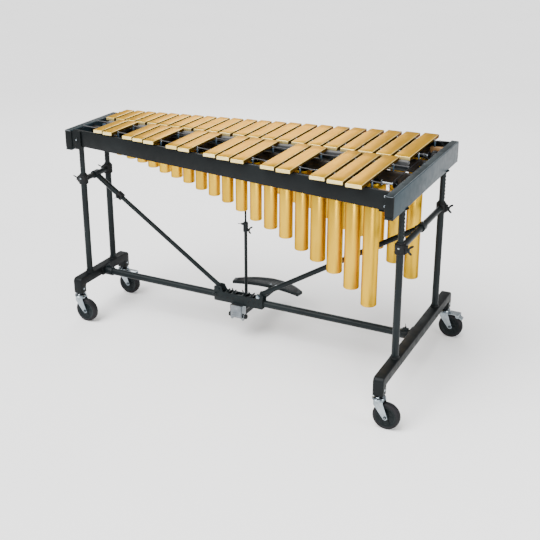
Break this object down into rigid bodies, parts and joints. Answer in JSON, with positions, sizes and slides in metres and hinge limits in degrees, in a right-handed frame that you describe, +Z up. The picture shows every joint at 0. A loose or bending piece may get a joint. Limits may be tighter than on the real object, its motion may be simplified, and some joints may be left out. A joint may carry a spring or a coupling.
{
  "type": "vibraphone",
  "caption": "Gold-bar vibraphone with two resonator banks, fans, damper and foot pedal, on a height-adjustable stand with braked swivel casters.",
  "frame": {"origin": "on the floor, under the middle of the whole instrument's box", "axes": "+X towards the low notes, +Y towards the player, +Z up"},
  "size_m": [1.5, 0.798, 0.828],
  "materials": {
    "bar_gold": "satin anodised gold",
    "tube_gold": "satin anodised gold",
    "rail_paint": "satin blue-grey paint",
    "black_paint": "satin black powder coat",
    "stand_paint": "satin charcoal powder coat",
    "rail_wood": "oiled hardwood",
    "bright_steel": "polished chrome plate",
    "tyre_rubber": "matt black rubber",
    "belt_rubber": "matt black rubber",
    "plain_aluminium": "satin mill finish",
    "damper_felt": "grey wool felt",
    "black_plastic": "satin moulded plastic"
  },
  "bodies": {
    "stand": {"low_foot_beam": "stand_paint", "low_cross_tube": "stand_paint", "high_foot_beam": "stand_paint", "high_cross_tube": "stand_paint", "low_front_post": "stand_paint", "low_front_clamp": "black_plastic", "low_rear_post": "stand_paint", "low_rear_clamp": "black_plastic", "high_front_post": "stand_paint", "high_front_clamp": "black_plastic", "high_rear_post": "stand_paint", "high_rear_clamp": "black_plastic", "crossbar": "stand_paint", "low_brace": "stand_paint", "high_brace_sleeve": "stand_paint", "high_brace_rod": "stand_paint", "centre_clamp": "black_paint"},
    "top_frame": {"sharp_bars_1": "bar_gold", "sharp_bars_2": "bar_gold", "sharp_bars_3": "bar_gold", "sharp_bars_4": "bar_gold", "sharp_bars_5": "bar_gold", "sharp_bars_6": "bar_gold", "natural_bars_low": "bar_gold", "natural_bars_middle": "bar_gold", "natural_bars_high": "bar_gold", "low_end_rail": "rail_paint", "high_end_rail": "rail_paint", "front_apron": "black_paint", "rear_apron": "black_paint", "sharp_rail_outer": "rail_wood", "sharp_rail_inner": "rail_wood", "natural_rail_inner": "rail_wood", "natural_rail_outer": "rail_wood", "front_resonators": "tube_gold", "rear_resonators": "tube_gold", "drive_belt": "belt_rubber", "fan_motor": "black_plastic", "low_front_lift_tube": "stand_paint", "low_rear_lift_tube": "stand_paint", "high_front_lift_tube": "stand_paint", "high_rear_lift_tube": "stand_paint"},
    "front_fan": {"front_fan_shaft": "plain_aluminium"},
    "rear_fan": {"rear_fan_shaft": "plain_aluminium"},
    "damper": {"damper_bar": "plain_aluminium", "damper_felt": "damper_felt", "upper_pedal_rod": "stand_paint"},
    "pedal": {"pedal": "black_paint"},
    "pedal_rod": {"lower_pedal_rod": "stand_paint"},
    "low_front_fork": {"low_front_caster_fork": "bright_steel"},
    "low_front_wheel": {"low_front_caster_wheel": "tyre_rubber"},
    "low_rear_fork": {"low_rear_caster_fork": "bright_steel"},
    "low_rear_wheel": {"low_rear_caster_wheel": "tyre_rubber"},
    "low_rear_brake": {"low_rear_caster_brake": "bright_steel"},
    "high_front_fork": {"high_front_caster_fork": "bright_steel"},
    "high_front_wheel": {"high_front_caster_wheel": "tyre_rubber"},
    "high_rear_fork": {"high_rear_caster_fork": "bright_steel"},
    "high_rear_wheel": {"high_rear_caster_wheel": "tyre_rubber"},
    "high_rear_brake": {"high_rear_caster_brake": "bright_steel"}
  },
  "joints": [
    {"name": "height", "type": "slide", "parent": "stand", "child": "top_frame", "axis": [0, 0, 1], "range_m": [0, 0.2]},
    {"name": "rear_fan_spin", "type": "hinge", "parent": "top_frame", "child": "rear_fan", "pos_m": [-0.022, 0.146, 0.789], "axis": [0.9968, 0.0797, 0], "continuous": true},
    {"name": "front_fan_spin", "type": "hinge", "parent": "top_frame", "child": "front_fan", "pos_m": [-0.022, -0.117, 0.789], "axis": [0.9966, -0.0822, 0], "continuous": true},
    {"name": "pedal_press", "type": "hinge", "parent": "stand", "child": "pedal", "pos_m": [-0.052, -0.018, 0.1], "axis": [1, 0, 0], "range_deg": [-8, 0], "stiffness_Nm_per_rad": 40, "springref_deg": 14.32},
    {"name": "rod_drop", "type": "slide", "parent": "stand", "child": "pedal_rod", "axis": [0, 0, -1], "range_m": [0, 0.007]},
    {"name": "damper_drop", "type": "slide", "parent": "top_frame", "child": "damper", "axis": [0, 0, -1], "range_m": [0, 0.007]},
    {"name": "low_front_swivel", "type": "hinge", "parent": "stand", "child": "low_front_fork", "pos_m": [0.673, -0.375, 0.11], "axis": [0, 0, 1], "continuous": true},
    {"name": "low_front_roll", "type": "hinge", "parent": "low_front_fork", "child": "low_front_wheel", "pos_m": [0.702, -0.375, 0.048], "axis": [0, 1, 0], "continuous": true},
    {"name": "low_rear_swivel", "type": "hinge", "parent": "stand", "child": "low_rear_fork", "pos_m": [0.673, 0.375, 0.11], "axis": [0, 0, 1], "continuous": true},
    {"name": "low_rear_roll", "type": "hinge", "parent": "low_rear_fork", "child": "low_rear_wheel", "pos_m": [0.702, 0.375, 0.048], "axis": [0, 1, 0], "continuous": true},
    {"name": "low_rear_brake_press", "type": "hinge", "parent": "low_rear_fork", "child": "low_rear_brake", "pos_m": [0.73, 0.375, 0.095], "axis": [0, 1, 0], "range_deg": [0, 12]},
    {"name": "high_front_swivel", "type": "hinge", "parent": "stand", "child": "high_front_fork", "pos_m": [-0.717, -0.155, 0.11], "axis": [0, 0, 1], "continuous": true},
    {"name": "high_front_roll", "type": "hinge", "parent": "high_front_fork", "child": "high_front_wheel", "pos_m": [-0.688, -0.155, 0.048], "axis": [0, 1, 0], "continuous": true},
    {"name": "high_rear_swivel", "type": "hinge", "parent": "stand", "child": "high_rear_fork", "pos_m": [-0.717, 0.155, 0.11], "axis": [0, 0, 1], "continuous": true},
    {"name": "high_rear_roll", "type": "hinge", "parent": "high_rear_fork", "child": "high_rear_wheel", "pos_m": [-0.688, 0.155, 0.048], "axis": [0, 1, 0], "continuous": true},
    {"name": "high_rear_brake_press", "type": "hinge", "parent": "high_rear_fork", "child": "high_rear_brake", "pos_m": [-0.66, 0.155, 0.095], "axis": [0, 1, 0], "range_deg": [0, 12]}
  ],
  "couplings": [
    {"joint": "front_fan_spin", "follows": "rear_fan_spin", "ratio": 1},
    {"joint": "rod_drop", "follows": "pedal_press", "m_per_rad": -0.048},
    {"joint": "damper_drop", "follows": "pedal_press", "m_per_rad": -0.048}
  ]
}
